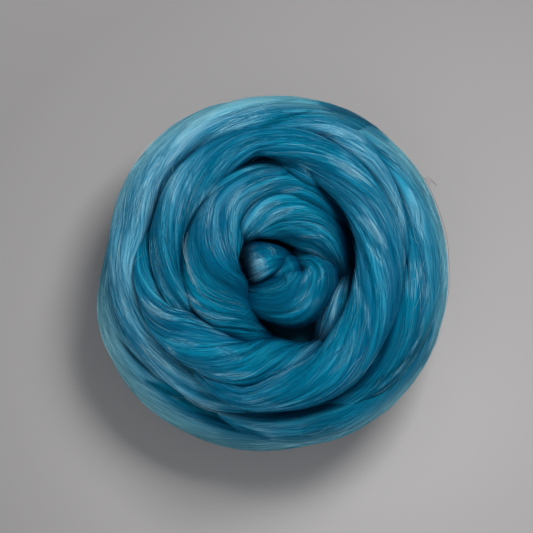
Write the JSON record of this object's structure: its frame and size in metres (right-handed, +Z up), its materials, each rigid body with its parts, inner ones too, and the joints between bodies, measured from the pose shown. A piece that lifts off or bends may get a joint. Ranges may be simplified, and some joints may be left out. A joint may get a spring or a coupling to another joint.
{
  "type": "wool roving nest",
  "caption": "Soft round nest of combed wool roving: a thick, loosely twisted strand wound round itself, with a small coiled bun in the hollow of its upper face.",
  "frame": {"origin": "middle of the nest's box in plan, on the surface it rests on", "axes": "+Z up out of the face that shows the coils, +X to the right and +Y towards the top of that face"},
  "size_m": [0.1968, 0.1982, 0.1056],
  "materials": {
    "wool": "soft satin lustre of combed wool fibres, dyed teal blue"
  },
  "bodies": {
    "root": {"roving": "wool"}
  },
  "joints": []
}
